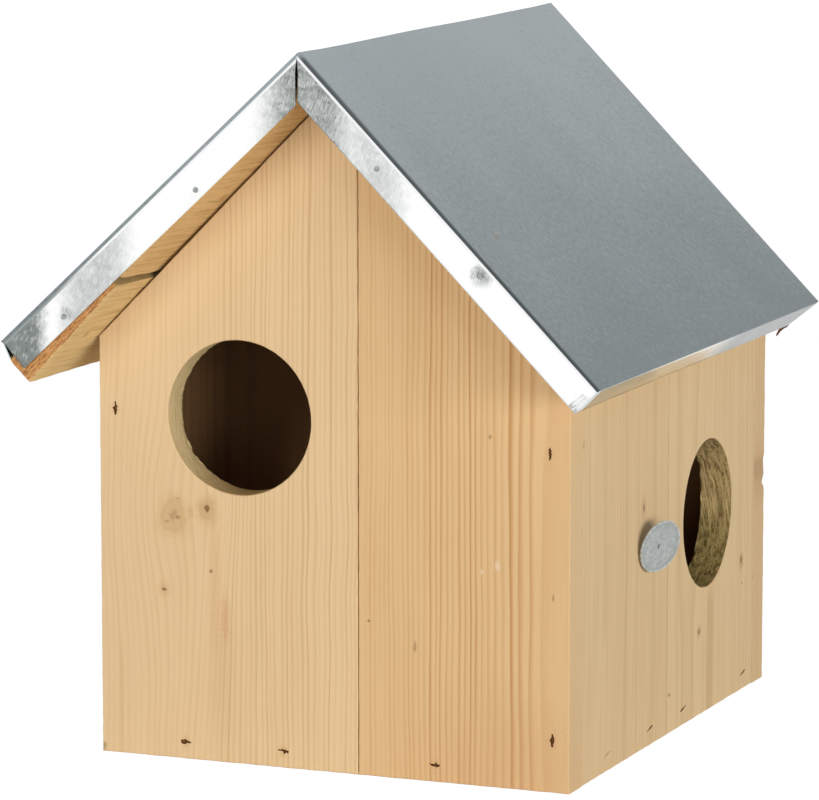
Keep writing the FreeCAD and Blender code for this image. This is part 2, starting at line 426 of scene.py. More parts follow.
def wood(name, face, tones, pith, ring, contrast, start=0.3, wave=10, knots=(), specks=(), blushes=(),
         scars=(), stripes=(), bands=None, streaks=(0.04, 0.42), edge=SIDE_PINE[0], seed=1.0):
    """Planed softwood cut from a log whose pith lies at u and w.

    bands limits the strong rings in u, and streaks holds the fineness and strength of the broad streaks; edge
    is the tone of the long edges, painted seam shade on the right wall.
    """
    g = new_material(name)
    pale, dark = tones
    grain = Grain(g, face)
    across = bent_across(g, grain, knots, wave, seed)
    late = growth_rings(g, grain, across, pith, ring, start, seed)
    if bands:
        low, high = bands
        inside = g.step(across, low - 30, low) * g.step(across, high + 10, high)
        late = late * (inside * 0.55 + 0.45)
    fibre = g.noise(grain.scaled(1.1, 0.016, 1.0, across), 1.0, 4, 0.65)
    cloud = g.noise(grain.scaled(streaks[0], 0.007, 0.04, across), 1.0, 3)
    pores = g.step(g.noise(grain.scaled(2, 0.055, 1.5, across)), 0.66, 0.78)
    share = late * contrast + (fibre - 0.5) * 0.36 + (cloud - 0.42) * streaks[1] + pores * 0.16
    colour = g.mix(g.clamp(share), pale, dark)
    colour = heart_stripes(g, grain, colour, across, dark, stripes)
    colour = cut_faces(g, grain, face, colour, edge)
    colour = knot_marks(g, grain, colour, dark, knots, seed)
    for tint, marks in ((PINK_BROWN, blushes), (RESIN_BROWN, specks), (PALE_SCAR, scars)):
        colour = spots(g, grain, colour, tint, marks)
    relief = fibre * 0.6 + late * 0.35, 0.28, 0.0005
    return g.surface(relief, Base_Color=colour, Roughness=0.62, Specular_IOR_Level=0.3)


def sawn_wood(name, face, tones, pith, seed, knots):
    """Rough-sawn softwood: faint rings under long saw marks, with long edges darkened by painted shade, as
    for the joints between the boards.
    """
    g = new_material(name)
    pale, dark = tones
    grain = Grain(g, face)
    across = bent_across(g, grain, knots, 6, seed)
    late = growth_rings(g, grain, across, pith, 5, 0.35, seed)
    slant = grain.v * 0.05 + across
    marks = g.noise(g.vector(slant * 0.75, grain.v * 0.016, seed), 1.0, 3, 0.6)
    fuzz = g.noise(grain.scaled(0.9, 0.3, 0.9), 1.0, 4, 0.7)
    stain = g.noise(grain.scaled(0.03, 0.02, 0.03), 1.0, 3)
    share = late * 0.2 + g.step(marks, 0.48, 0.64) * 0.6 + (fuzz - 0.5) * 0.7 + (stain - 0.46) * 0.8
    colour = g.mix(g.clamp(share), pale, dark)
    colour = knot_marks(g, grain, colour, dark, knots, seed)
    # long edges darkened with painted joint shade
    colour = cut_faces(g, grain, face, colour, PAINTED_JOINT_SHADE)
    relief = fuzz * 0.8 + marks * -0.6, 0.45, 0.0008
    return g.surface(relief, Base_Color=colour, Roughness=0.8)


def cut_wood(name, face, tones, stain_low, stain_high):
    """Wall of a sawn hole with torn fibres, stained below a height given in millimetres."""
    g = new_material(name)
    light, dark, stained = tones
    grain = Grain(g, face)
    slant = grain.v * 0.18 + grain.w
    torn = g.noise(g.vector(slant * 0.6, grain.v * 0.05, grain.u * 0.28), 1.0, 4, 0.6)
    fine = g.noise(grain.scaled(1.4, 0.3, 2.4), 1.0, 3, 0.7)
    colour = g.mix(g.step((fine - 0.5) * 0.7 + torn, 0.42, 0.7), light, dark)
    damp = (fine - 0.5) * 1.1 + g.step(grain.v, stain_high, stain_low)
    colour = g.mix(g.step(damp, 0.2, 1.0) * 0.7, colour, stained, blend="MULTIPLY")
    return g.surface((fine * 0.4 + torn, 0.8, 0.0016), Base_Color=colour, Roughness=0.8)


def torn_pit():
    """Broken fibres in the dent over a staple."""
    g = new_material("torn_pit")
    fibre = g.noise(g.place(), 1500, 3)
    colour = g.mix(g.step(fibre, 0.44, 0.7), PIT_BLACK, PIT_BROWN)
    return g.surface(Base_Color=colour, Roughness=0.85, Specular_IOR_Level=0.05)


def splinter_wood():
    """Dark torn sliver."""
    g = new_material("splinter_wood")
    fibre = g.step(g.noise(g.place(), 900, 3), 0.35, 0.7)
    return g.surface(Base_Color=g.mix(fibre, SPLINTER_DARK, SPLINTER_LIGHT), Roughness=0.8)


def zinc_top():
    """Dull mottled face of the galvanised sheet, lighter toward the ridge and darker toward the eaves by
    painted shade, and darker along the bend at the front of the right slope by a painted shadow.
    """
    g = new_material("zinc_top")
    place = g.place()
    x = g.dot(place, (1, 0, 0))
    y = g.dot(place, (0, 1, 0))
    grit = g.noise(place, 1000, 3, 0.6)
    patch = g.noise(place, 330, 3, 0.6)
    veil = g.noise(place, 16, 3)
    # painted shade: the sheet lighter near the ridge and darker toward the eaves
    fade = g.step(abs(x), 0.185, -0.02)
    tone = (grit - 0.5) * 0.9 + (patch - 0.5) * 1.3 + 0.5 + (veil - 0.5) * 0.45 + (fade - 0.46) * 1.05
    colour = g.mix(tone, (0.213, 0.246, 0.256), (0.388, 0.436, 0.45))
    speck = g.step(g.noise(place, 480, 2, 0.6), 0.66, 0.74)
    colour = g.mix(speck * 0.6, colour, (0.13, 0.15, 0.155))
    # a darker oval patch over the front of the right slope
    dark_oval_patch = g.step(g.length((x - 0.05) / 0.075, (y + 0.09) / 0.17), 1.15, 0.15)
    colour = g.mix(dark_oval_patch * 0.15, colour, (0.15, 0.186, 0.196))
    # painted shadow in a band along the front bend, on the right slope only
    width = g.step(x, 0.0, 0.1) * -0.0022 + 0.0064
    band = g.step((y - SHEET_LOW.y) / width, 1.0, 0.35) * g.step(x, 0.0, 0.004)
    colour = g.mix(band * 0.85, colour, (0.055, 0.066, 0.07))
    scratch = g.length((x - 0.0909) / 0.0019, (y + 0.1568) / 0.0011)
    colour = g.mix(g.step(scratch * scratch, 1.3, 0.5) * 0.6, colour, (0.3, 0.215, 0.11))
    relief = patch * 0.6 + grit, 0.1, 0.0003
    return g.surface(relief, Base_Color=colour, Metallic=0.85, Roughness=patch * 0.2 + 0.44)


def dull_amount(g, x, z):
    """How dull the lips are along the gable: stretches of x, and smudges round some of the nails."""
    stretches = (
        (-0.166, 0.03, 0.6, 1.0), (-0.112, 0.026, 0.3, 0.46), (-0.002, 0.026, 0.3, 0.26),
        (0.006, 0.032, 0.3, 0.74), (0.042, 0.022, 0.3, 0.36),
    )
    smudges = (
        (-0.1262, 0.2362, 0.006, 0.55), (0.0458, 0.3145, 0.006, 0.45), (0.0992, 0.2672, 0.0068, 0.72),
    )
    amount = 0.0
    for centre, half, solid, strength in stretches:
        near = g.step(abs(x - centre), half, half * solid) * strength
        amount = g.math("MAXIMUM", amount, near)
    for at_x, at_z, radius, strength in smudges:
        far = g.length(x - at_x, z - at_z) / radius
        amount = g.math("MAXIMUM", amount, g.step(far, 1.2, 0.2) * strength)
    return amount


def zinc_lip():
    """Bright folded edge of the sheet, dull and spangled in places."""
    g = new_material("zinc_lip")
    place = g.place()
    x = g.dot(place, (1, 0, 0))
    z = g.dot(place, (0, 0, 1))
    spangle = g.node("TexVoronoi", {"Vector": place, "Scale": 330}, "Color")
    facet = g.node("SeparateColor", {0: spangle})
    smear = g.noise(place, 250, 4, 0.7)
    scratch = g.noise(g.vector((z * -0.35 + x) * 1500, z * 160, 0.0), 1.0, 3, 0.6)
    amount = dull_amount(g, (smear - 0.5) * 0.012 + x, z)
    mottle = (smear - 0.5) * 0.8 + (facet - 0.5) * 0.3 + (scratch - 0.5) * 1.6 + 1.05
    colour = g.mix(g.clamp(amount * mottle), BRIGHT_ZINC, DULL_ZINC)
    pitted = g.step(g.noise(place, 520), 0.59, 0.7) * g.step(amount, 0.35, 0.75)
    colour = g.mix(pitted * 0.6, colour, (0.11, 0.122, 0.118))
    relief = scratch * 0.3 + smear, 0.04, 0.0004
    return g.surface(relief, Base_Color=colour, Metallic=1.0, Roughness=facet * 0.08 + 0.24)


def zinc_eave():
    """Smooth lip under the eave, with a painted cool blue-grey reflection toward its front end, and duller
    and rougher toward its rear end, where the grey is partly tarnished metal and partly a painted reflection
    of grey surroundings.
    """
    g = new_material("zinc_eave")
    place = g.place()
    y = g.dot(place, (0, 1, 0))
    tarnish_and_reflection = g.noise(place, 70, 4, 0.6)
    # duller rear end, partly tarnished and partly a painted grey reflection; it also raises the roughness
    rear = g.step(y, -0.03, 0.035)
    dull = g.clamp(rear * 0.8 + (tarnish_and_reflection - 0.4) * 0.25)
    colour = g.mix(dull, (0.94, 0.93, 0.89), (0.48, 0.5, 0.506))
    # painted reflection: a cool blue-grey tint toward the front end
    front = g.step((tarnish_and_reflection - 0.5) * 0.05 + y, -0.085, -0.15)
    colour = g.mix(front * 0.85, colour, (0.59, 0.67, 0.72))
    edge = g.mix(dull, (0.95, 0.94, 0.92), (0.74, 0.76, 0.765))
    rough = rear * 0.25 + 0.14
    relief = tarnish_and_reflection, 0.05, 0.0004
    return g.surface(relief, Base_Color=colour, Metallic=1.0, Specular_Tint=edge, Roughness=rough)


def zinc_bend_highlight():
    """Front bend of the sheet, a strip kept bright as a painted highlight along the fold, dull toward the
    left eave.
    """
    g = new_material("zinc_bend_highlight")
    place = g.place()
    wear = g.noise(place, 160, 5, 0.65)
    colour = g.mix(wear, (0.86, 0.875, 0.865), (0.95, 0.96, 0.955))
    left_end = g.step(g.dot(place, (1, 0, 0)), -0.105, -0.138)
    colour = g.mix(left_end * 0.85, colour, DULL_ZINC)
    return g.surface(Base_Color=colour, Metallic=1.0, Roughness=0.3)


def worn_metal(name, tones, scale, roughness, metallic=1.0):
    """Worn metal that varies between two tones."""
    g = new_material(name)
    wear = g.noise(g.place(), scale, 5, 0.65)
    colour = g.mix(g.step(wear, 0.32, 0.68), *tones)
    return g.surface(
        (wear, 0.15, 0.0003), Base_Color=colour, Metallic=metallic, Roughness=roughness,
        Specular_IOR_Level=0.5 * metallic,
    )


def tag_metal(centre):
    """Scuffed metal of the tag, with a painted highlight on its rim, patchy with wear, and a thin ring of
    painted shade for a groove inside it.
    """
    g = new_material("tag_metal")
    place = g.place()
    wear = g.noise(place, 420, 5, 0.65)
    colour = g.mix(g.step(wear, 0.32, 0.68), (0.35, 0.373, 0.362), (0.482, 0.506, 0.494))
    away = g.node("VectorMath", {0: place, 1: centre}, "Value", operation="DISTANCE")
    # painted shade: a dark thin ring where a groove inside the rim would be shaded
    groove = g.step(away, 0.0112, 0.0122) * g.step(away, 0.0134, 0.0128)
    colour = g.mix(groove * 0.22, colour, (0.23, 0.25, 0.245))
    # painted highlight on the rolled rim, patchy with wear
    rim = g.step(away, 0.0132, 0.014) * g.step(wear, 0.35, 0.75)
    colour = g.mix(rim, colour, (0.64, 0.665, 0.66))
    return g.surface((wear, 0.5, 0.0003), Base_Color=colour, Metallic=1.0, Roughness=wear * 0.16 + 0.34)


# Meshes

def add_object(name, data):
    made = bpy.data.objects.new(name, data)
    bpy.context.scene.collection.objects.link(made)
    return made


def add_mesh(name, bm, materials):
    """Object made from bm, which is then freed."""
    mesh = bpy.data.meshes.new(name)
    bm.to_mesh(mesh)
    bm.free()
    for material in materials:
        mesh.materials.append(material)
    return add_object(name, mesh)


def add_piece(name, bm, materials, body, nodes=(), repair=True):
    """Piece that rides on a body and stands for CAD nodes; repair turns the faces outward."""
    if repair:
        bmesh.ops.recalc_face_normals(bm, faces=bm.faces)
    piece = add_mesh(name, bm, materials)
    piece.data.polygons.foreach_set("use_smooth", [True] * len(piece.data.polygons))
    piece.data.set_sharp_from_angle(angle=SHARP_ANGLE)
    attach(piece, body)
    if nodes:
        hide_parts(*nodes)
    return piece


def add_loop(bm, points):
    return [bm.verts.new(point) for point in points]


def spaced(first, last, steps):
    """Evenly spaced values from first to last."""
    return [first + (last - first) * i / steps for i in range(steps + 1)]


def closed(items):
    """Neighbouring pairs of a closed list."""
    return zip(items, items[1:] + items[:1])


def bridge(bm, first, second, material=0):
    """Quads between two closed loops of equal length."""
    for (a, b), (d, c) in zip(closed(first), closed(second)):
        bm.faces.new((a, b, c, d)).material_index = material


def bridge_all(bm, loops, material=0):
    for first, second in zip(loops, loops[1:]):
        bridge(bm, first, second, material)


def cap(bm, loops, normal, material=0):
    """Flat surface inside the first loop and outside the others."""
    edges = []
    for loop in loops:
        for a, b in closed(loop):
            edges.append(bm.edges.get((a, b)) or bm.edges.new((a, b)))
    made = bmesh.ops.triangle_fill(bm, edges=edges, use_beauty=True, normal=normal)
    for item in made["geom"]:
        if isinstance(item, bmesh.types.BMFace):
            item.material_index = material


def inset(points, distance):
    """A closed outline, anticlockwise, moved inward."""
    moved = []
    for before, here, after in zip(points[-1:] + points[:-1], points, points[1:] + points[:1]):
        a = (here - before).normalized()
        b = (after - here).normalized()
        inward = Vector((-a.y - b.y, a.x + b.x))
        moved.append(here + inward * (distance / (1 + a.dot(b))))
    return moved


def divide(outline, step, wear, rng):
    """The outline with a point at every step, worn back by up to wear between its corners."""
    points = []
    for start, end in closed(outline):
        along = (end - start).normalized()
        inward = Vector((-along.y, along.x))
        count = max(1, round((end - start).length / step))
        for i in range(count):
            worn = wear * rng.random() if i else 0.0
            points.append(start.lerp(end, i / count) + inward * worn)
    return points


def ragged_circle(centre, radius, count, roughness, chips, rng):
    """Circle with a rough rim and a few places where it has broken away."""
    radii = [radius + roughness * rng.random() for _ in range(count)]
    for _ in range(chips):
        at = rng.randrange(count)
        size = rng.uniform(*RIM_CHIP)
        for k in range(-2, 3):
            radii[(at + k) % count] += size * (1 - abs(k) / 3)
    turns = spaced(0, math.tau, count)[:-1]
    return [Vector((centre[0] + r * math.cos(t), centre[1] + r * math.sin(t))) for r, t in zip(radii, turns)]


def hole_rings(centre, radius, tear, rim, rng):
    """Rings of a sawn hole as depth and outline, from the outer face inward; tear scales the furrows."""
    count, rough, late_chips, inner_chips = rim
    middle = Vector(centre)
    rings = [(0.0, ragged_circle(centre, radius + BEVEL, count, rough, 0, rng))]
    for i, depth in enumerate(spaced(BEVEL, THICK - RIM_END, RIM_STEPS)):
        chips = late_chips if i == RIM_STEPS else 0
        ring = ragged_circle(centre, radius, count, rough, chips, rng)
        for k, point in enumerate(ring):
            along = (depth + 0.18 * point.y) * 620
            furrow = noise.noise(Vector((along, point.y * 45, point.x * 200))) + 0.5
            ring[k] = point + (point - middle).normalized() * tear * furrow * min(1.0, depth / FURROW_START)
        rings.append((depth, ring))
    rings.append((THICK, ragged_circle(centre, radius + rough, count, rough * 6, inner_chips, rng)))
    return rings


def pit_outline(centre, length, width, angle, tear, rng):
    """Torn outline round a staple, with pointed ends and a bulge."""
    bulge = rng.uniform(-0.35, 0.35)
    stations = [i / 5 for i in range(-4, 5)]
    edges = {1: [], -1: []}
    for t in stations:
        fat = max(0.42, 1 - abs(t - bulge) ** 1.5)
        for side, points in edges.items():
            points.append((t, side * fat * rng.uniform(1 - tear, 1 + 0.6 * tear)))
    loop = [(-1, 0)] + edges[-1] + [(1, 0)] + edges[1][::-1]
    outline = []
    for along, beside in loop:
        along *= length / 2
        beside *= width / 2
        u = centre[0] + along * math.cos(angle) - beside * math.sin(angle)
        v = centre[1] + along * math.sin(angle) + beside * math.cos(angle)
        outline.append(Vector((u, v)))
    return outline


def shrink(points, share):
    middle = sum(points, Vector((0, 0))) / len(points)
    return [middle.lerp(point, share) for point in points]


def chipped(points, chips, rng):
    """An outline with pieces broken from its edges, each at u and v with its depth and half length."""
    broken = [point.copy() for point in points]
    for u, v, depth, half in chips:
        inward = -1 if u > 0 else 1
        for point in broken:
            near = 1 - abs(point.y - v) / half
            if near > 0 and abs(point.x - u) < 0.001:
                point.x += inward * depth * near * rng.uniform(0.6, 1.2)
    return broken


def board(node, face, outline, materials, holes=(), pits=(), rise=0.0, chips=(), seed=1):
    """Planed board with eased edges; rise lifts the inner edge of a top that is cut to the roof's slope."""
    rng = random.Random(seed)
    plain = divide([Vector(p) for p in outline], EDGE_STEP, WEAR, rng)
    broken = chipped(plain, chips, rng)
    top = max(point.y for point in plain)

    def loop_at(bm, points, depth):
        lift = rise * depth / THICK
        lifted = [Vector((p.x, p.y + lift if p.y > top - TOP_BAND else p.y)) for p in points]
        return face.loop(bm, lifted, depth)

    bm = bmesh.new()
    loops = [
        loop_at(bm, inset(broken, BEVEL), 0.0),
        loop_at(bm, broken, BEVEL),
        loop_at(bm, plain, CHIP_DEPTH),
        loop_at(bm, plain, THICK - INNER_BEVEL),
        loop_at(bm, inset(plain, INNER_BEVEL), THICK),
    ]
    bridge_all(bm, loops)
    front_loops = [loops[0]]
    back_loops = [loops[-1]]
    for hole in holes:
        rings = [face.loop(bm, points, depth) for depth, points in hole_rings(*hole, rng)]
        bridge(bm, rings[0], rings[1])
        bridge_all(bm, rings[1:], 1)
        front_loops.append(rings[0])
        back_loops.append(rings[-1])
    for centre, length, width, angle, depth, tear in pits:
        edge = pit_outline(centre, length, width, angle, tear, rng)
        mouth = face.loop(bm, edge)
        bottom = face.loop(bm, shrink(edge, PIT_FLOOR), depth)
        bridge(bm, mouth, bottom, 2)
        bm.faces.new(bottom).material_index = 2
        front_loops.append(mouth)
    cap(bm, front_loops, face.out)
    cap(bm, back_loops, -face.out, 3)
    add_piece(node + "_visual", bm, materials, "house", [node])


def on_slope(side, down, out, pitch, ridge):
    """Point of a roof slope as x and z."""
    x = side * (down * math.cos(pitch) + out * math.sin(pitch))
    return Vector((x, ridge - down * math.sin(pitch) + out * math.cos(pitch)))


def front_lift(side, down, y):
    """How far the front ends of the left roof boards have warped up toward the sheet."""
    if side == RIGHT or y > WARP_START:
        return 0.0
    if down < UPPER_END:
        share = down / UPPER_END
    else:
        share = 0.4 * (ROOF_END[LEFT] - down) / (ROOF_END[LEFT] - UPPER_END)
    reach = (WARP_START - y) / (WARP_START - ROOF_FRONT)
    return FRONT_WARP * share * reach


def roof_board(node, side, section, material, seed):
    """Rough-sawn board along the roof, from a section of points down the slope and out of it."""
    rng = random.Random(seed)
    outline = divide([Vector(p) for p in section], SAWN_STEP, 0.0, rng)
    worn = inset(outline, SAWN_WEAR)
    first = ROOF_FRONT + END_PLAY
    length = ROOF_BACK - first - END_PLAY
    # Stations along the board, with the least wear and its spread
    ends = [(0.0, 0.55, 0.45), (0.0012, 0.15, 0.35)]
    middle = [(along, 0.0, 0.28) for along in spaced(0.006, length - 0.006, SAWN_SPANS)]
    far_ends = [(length - along, least, spread) for along, least, spread in reversed(ends)]
    bm = bmesh.new()
    loops = []
    for along, least, spread in ends + middle + far_ends:
        y = first + along
        points = []
        for edge, back in zip(outline, worn):
            at = edge.lerp(back, least + spread * rng.random())
            p = on_slope(side, at.x, at.y + front_lift(side, at.x, y), ROOF_PITCH, BOARD_RIDGE)
            points.append(Vector((p.x, skewed(y, at.x), p.y)))
        loops.append(add_loop(bm, points))
    bridge_all(bm, loops)
    cap(bm, [loops[0]], Vector((0, -1, 0)))
    cap(bm, [loops[-1]], Vector((0, 1, 0)))
    add_piece(node + "_visual", bm, [material], "house", [node])


def tube(name, rings, material, body, nodes=()):
    """Closed piece through rings of points."""
    bm = bmesh.new()
    loops = [add_loop(bm, ring) for ring in rings]
    bridge_all(bm, loops)
    bm.faces.new(loops[0])
    bm.faces.new(loops[-1])
    add_piece(name, bm, [material], body, nodes)


def lathe(name, profile, base, axis, segments, material, body, nodes=()):
    """Turned piece: profile holds radius and height along axis, from its foot to its top."""
    axis = Vector(axis).normalized()
    side = axis.orthogonal().normalized()
    other = axis.cross(side)
    turns = spaced(0, math.tau, segments)[:-1]
    spokes = [side * math.cos(turn) + other * math.sin(turn) for turn in turns]
    rings = []
    for radius, height in profile:
        middle = Vector(base) + axis * height
        rings.append([middle + spoke * radius for spoke in spokes])
    tube(name, rings, material, body, nodes)


# Walls and floor

def upright_pit(u, v):
    """Dent over a staple whose crown is upright: centre, length, width, angle, depth and raggedness."""
    return (u, v), 0.0074, 0.0026, math.radians(88), 0.0013, 0.75


def level_pit(u):
    """Dent over a level staple at the foot of a gable wall."""
    return (u, FLOOR_STAPLE_Z), 0.0064, 0.0026, math.radians(-6), 0.0013, 0.75


def slanted_slot(side, y):
    """Narrow slot over a slanted staple at the foot of a side wall; the foremost one has nearly closed."""
    strength = 0.35 if y == SIDE_STAPLES[0] else 1.0
    return (side * y, FLOOR_STAPLE_Z), 0.0098, 0.0013 * strength, side * SIDE_SLANT, 0.0009 * strength, 0.25


def pit_stains(pits):
    """Brown bruises in the wood round the dents, in millimetres."""
    return tuple((u * 1000, v * 1000, 2.6, 4.2, 0.35) for (u, v), *_ in pits)


def gable_outlines(mirrored, gap):
    """Outlines of the board that holds the apex and of its neighbour, a little below the roof boards."""
    near = SEAM_X - gap
    far = SEAM_X + gap
    top = APEX - ROOF_GAP
    apex_board = [(-HALF_WIDTH, 0), (near, 0), (near, top - near), (0, top), (-HALF_WIDTH, top - HALF_WIDTH)]
    neighbour = [(far, 0), (HALF_WIDTH, 0), (HALF_WIDTH, top - HALF_WIDTH), (far, top - far)]
    if not mirrored:
        return apex_board, neighbour
    return [[(-u, v) for u, v in reversed(outline)] for outline in (apex_board, neighbour)]


def chamber_shade_wood(name, face, seed):
    """Wood inside the chamber, darkened with painted shade."""
    return wood(name, face, CHAMBER_SHADE_PINE, pith=(30, 90), ring=2.8, contrast=0.5, seed=seed)


def front_wall(pit, inner):
    left, right = gable_outlines(False, JOINT_GAP)
    left_pits = [upright_pit(-STAPLE_X, 0.182), level_pit(-0.082), level_pit(-0.027)]
    right_pits = [upright_pit(STAPLE_X - 0.002, 0.173), upright_pit(STAPLE_X, 0.027), level_pit(0.057)]
    pale = wood(
        "pine_front_left", FRONT, PALE_PINE, pith=(-165, -42), ring=2.9, contrast=0.72, start=0.42,
        wave=13, bands=(-48, 20), seed=3,
        knots=((-88.5, 127.5, 8.5, 0.72), (-69.3, 132, 5.4, 0.95)),
        specks=(
            (-94, 88.8, 1.6, 0.9, 0.85), (-67.2, 100.2, 1.1, 1.1, 0.75), (-129, 3, 1.5, 2.5, 0.5),
            (-85.6, 127, 1.3, 1.1, 0.5), (-92, 124.5, 1.5, 0.9, 0.32), (-85.5, 137, 1.2, 0.9, 0.25),
        ),
        blushes=(
            (-59.1, 75.3, 2.6, 15, 0.45), (-62, 50, 9, 40, 0.2), (-94, 88.8, 4, 5, 0.35),
            (-65, 95, 4, 40, 0.28), (-78.5, 130.5, 2.2, 3.4, 0.4), *pit_stains(left_pits),
        ),
    )
    warm = wood(
        "pine_front_right", FRONT, WARM_PINE, pith=(128, -52), ring=2.35, contrast=0.95, start=0.35,
        wave=7, bands=(62, 106), seed=11,
        specks=(
            (46.3, 69.2, 1.0, 3, 0.5), (86.9, 179.7, 1.0, 1.2, 0.55), (20.8, 80.8, 0.8, 0.8, 0.7),
            (121.1, 99.9, 0.6, 2.2, 0.55),
        ),
        # The broad last blush darkens the board toward its lower right.
        blushes=(*pit_stains(right_pits), (95, 10, 50, 45, 0.28)),
        scars=((91, 114.2, 1.6, 2.8, 0.55), (82.7, 110.6, 1.0, 1.4, 0.5)),
    )
    rim = cut_wood("front_hole_wall", FRONT, FRONT_CUT, 135, 165)
    hole = [(FRONT_HOLE, HOLE_RADIUS, FRONT_TEAR, ENTRANCE_RIM)]
    board("front_board_left", FRONT, left, [pale, rim, pit, inner], hole, left_pits, seed=5)
    board("front_board_right", FRONT, right, [warm, rim, pit, inner], (), right_pits, seed=6)


def back_wall(pit, inner):
    left, right = gable_outlines(True, HIDDEN_GAP)
    first = wood(
        "pine_back_left", BACK, PALE_PINE, pith=(70, -70), ring=2.6, contrast=0.7, start=0.48, wave=26,
        knots=((52, 205, 7, 0.9), (95, 74, 5, 0.8)), specks=((30, 140, 0.9, 2.4, 0.6),), seed=21,
    )
    second = wood(
        "pine_back_right", BACK, WARM_PINE, pith=(-150, -50), ring=2.6, contrast=0.75, start=0.4,
        knots=((-84, 150, 5, 0.9),), blushes=((-130, 116, 4, 18, 0.4),),
        specks=((-60, 48, 0.9, 2, 0.6), (-130, 120, 2.4, 7, 0.22)), seed=25,
    )
    rim = cut_wood("hanging_hole_wall", BACK, BACK_CUT, 290, 300)
    pits = [upright_pit(u, v) for u in (STAPLE_X, -STAPLE_X) for v in (0.175, 0.05)]
    pits += [level_pit(u) for u in (0.075, 0.02, -0.07)]
    left_pits = [p for p in pits if p[0][0] > -SEAM_X]
    right_pits = [p for p in pits if p[0][0] < -SEAM_X]
    hang = [(HANG_HOLE, HANG_RADIUS, HANG_TEAR, HANGING_RIM)]
    chips = [(-HALF_WIDTH, 0.1119, 0.0016, 0.0045), (-HALF_WIDTH, 0.1213, 0.0014, 0.004)]
    board("back_board_left", BACK, left, [first, rim, pit, inner], hang, left_pits, seed=7)
    board(
        "back_board_right", BACK, right, [second, rim, pit, inner], (), right_pits,
        chips=chips, seed=8,
    )


def side_boards(side, face, gap, woods, pit, inner, seed, rim=None, holes=()):
    """Front and back boards of a side wall, just under the roof boards; gap is half the seam between them."""
    top = EAVE - ROOF_GAP
    places = (
        ("front", -INNER_Y + JOINT_GAP, SIDE_SEAM - gap, ()),
        ("back", SIDE_SEAM + gap, INNER_Y - JOINT_GAP, holes),
    )
    for number, ((place, start, end, cuts), pine) in enumerate(zip(places, woods)):
        low, high = sorted((side * start, side * end))
        outline = [(low, 0), (high, 0), (high, top), (low, top)]
        slots = [slanted_slot(side, y) for y in SIDE_STAPLES if start < y < end]
        node = f"{SIDE_NAME[side]}_side_{place}_board"
        materials = [pine, rim or pine, pit, inner]
        board(node, face, outline, materials, cuts, slots, THICK, seed=seed + number)


def right_wall(pit, inner):
    # Both boards' long edges take painted shade, so the seam between them reads dark.
    front = wood(
        "pine_right_front", RIGHT_SIDE, SIDE_PINE, pith=(-230, -45), ring=3.4, contrast=0.36, start=0.4,
        specks=((-44.6, 128.5, 1.4, 2.6, 0.75), (-134.9, 175.4, 1.0, 2.5, 0.4)),
        blushes=((-44.6, 128.5, 4, 8, 0.4),),
        stripes=((-72, -40, 260, 3, 0.3), (-30, -40, 260, 4, 0.22), (-104, 60, 260, 3, 0.25)),
        streaks=(0.11, 0.5), edge=PAINTED_SEAM_SHADE, seed=31,
    )
    back = wood(
        "pine_right_back", RIGHT_SIDE, LIGHT_PINE, pith=(25, -90), ring=3.4, contrast=0.34, start=0.45,
        knots=((114.9, 72.6, 3.6, 1.0), (44.9, 46, 2.8, 1.0)),
        specks=(
            (-3, 20.9, 1.6, 1.1, 0.8), (117, 60, 1.0, 0.8, 0.6), (114.9, 74, 1.8, 1.6, 0.7),
            (44.9, 46, 1.8, 1.5, 0.8),
        ),
        stripes=((62, -40, 76, 7, 0.55), (8, -40, 260, 4, 0.2)),
        streaks=(0.11, 0.5), edge=PAINTED_SEAM_SHADE, seed=35,
    )
    rim = cut_wood("side_hole_wall", RIGHT_SIDE, SIDE_CUT, 80, 122)
    hole = [(SIDE_HOLE, HOLE_RADIUS, SIDE_TEAR, ENTRANCE_RIM)]
    side_boards(RIGHT, RIGHT_SIDE, SIDE_GAP, (front, back), pit, inner, 9, rim, hole)


def left_wall(pit, inner):
    front = wood(
        "pine_left_front", LEFT_SIDE, SIDE_PINE, pith=(60, -66), ring=2.5, contrast=0.65, start=0.48,
        wave=26, knots=((78, 150, 6, 0.9),), seed=41,
    )
    back = wood(
        "pine_left_back", LEFT_SIDE, SIDE_PINE, pith=(-190, -60), ring=2.4, contrast=0.62, start=0.42,
        knots=((-70, 95, 4.6, 0.9), (-48, 182, 3.2, 0.9)), specks=((-30, 60, 0.9, 2.2, 0.6),), seed=45,
    )
    side_boards(LEFT, LEFT_SIDE, HIDDEN_GAP, (front, back), pit, inner, 11)


def floor_boards(pit):
    pine = wood(
        "pine_floor", UNDERSIDE, PALE_PINE, pith=(40, 120), ring=2.8, contrast=0.65, wave=20,
        knots=((-60, 40, 6, 0.9), (80, -50, 4.5, 0.9)), seed=51,
    )
    inner = chamber_shade_wood("pine_floor_inside", UNDERSIDE, 54)
    end = INNER_X - JOINT_GAP
    spans = {
        "floor_front_board": (-INNER_Y + JOINT_GAP, FLOOR_SEAM - JOINT_GAP),
        "floor_back_board": (FLOOR_SEAM + JOINT_GAP, INNER_Y - JOINT_GAP),
    }
    for seed, (node, (low, high)) in enumerate(spans.items(), 13):
        outline = [(low, -end), (high, -end), (high, end), (low, end)]
        board(node, UNDERSIDE, outline, [pine, pine, pit, inner], seed=seed)


# Roof

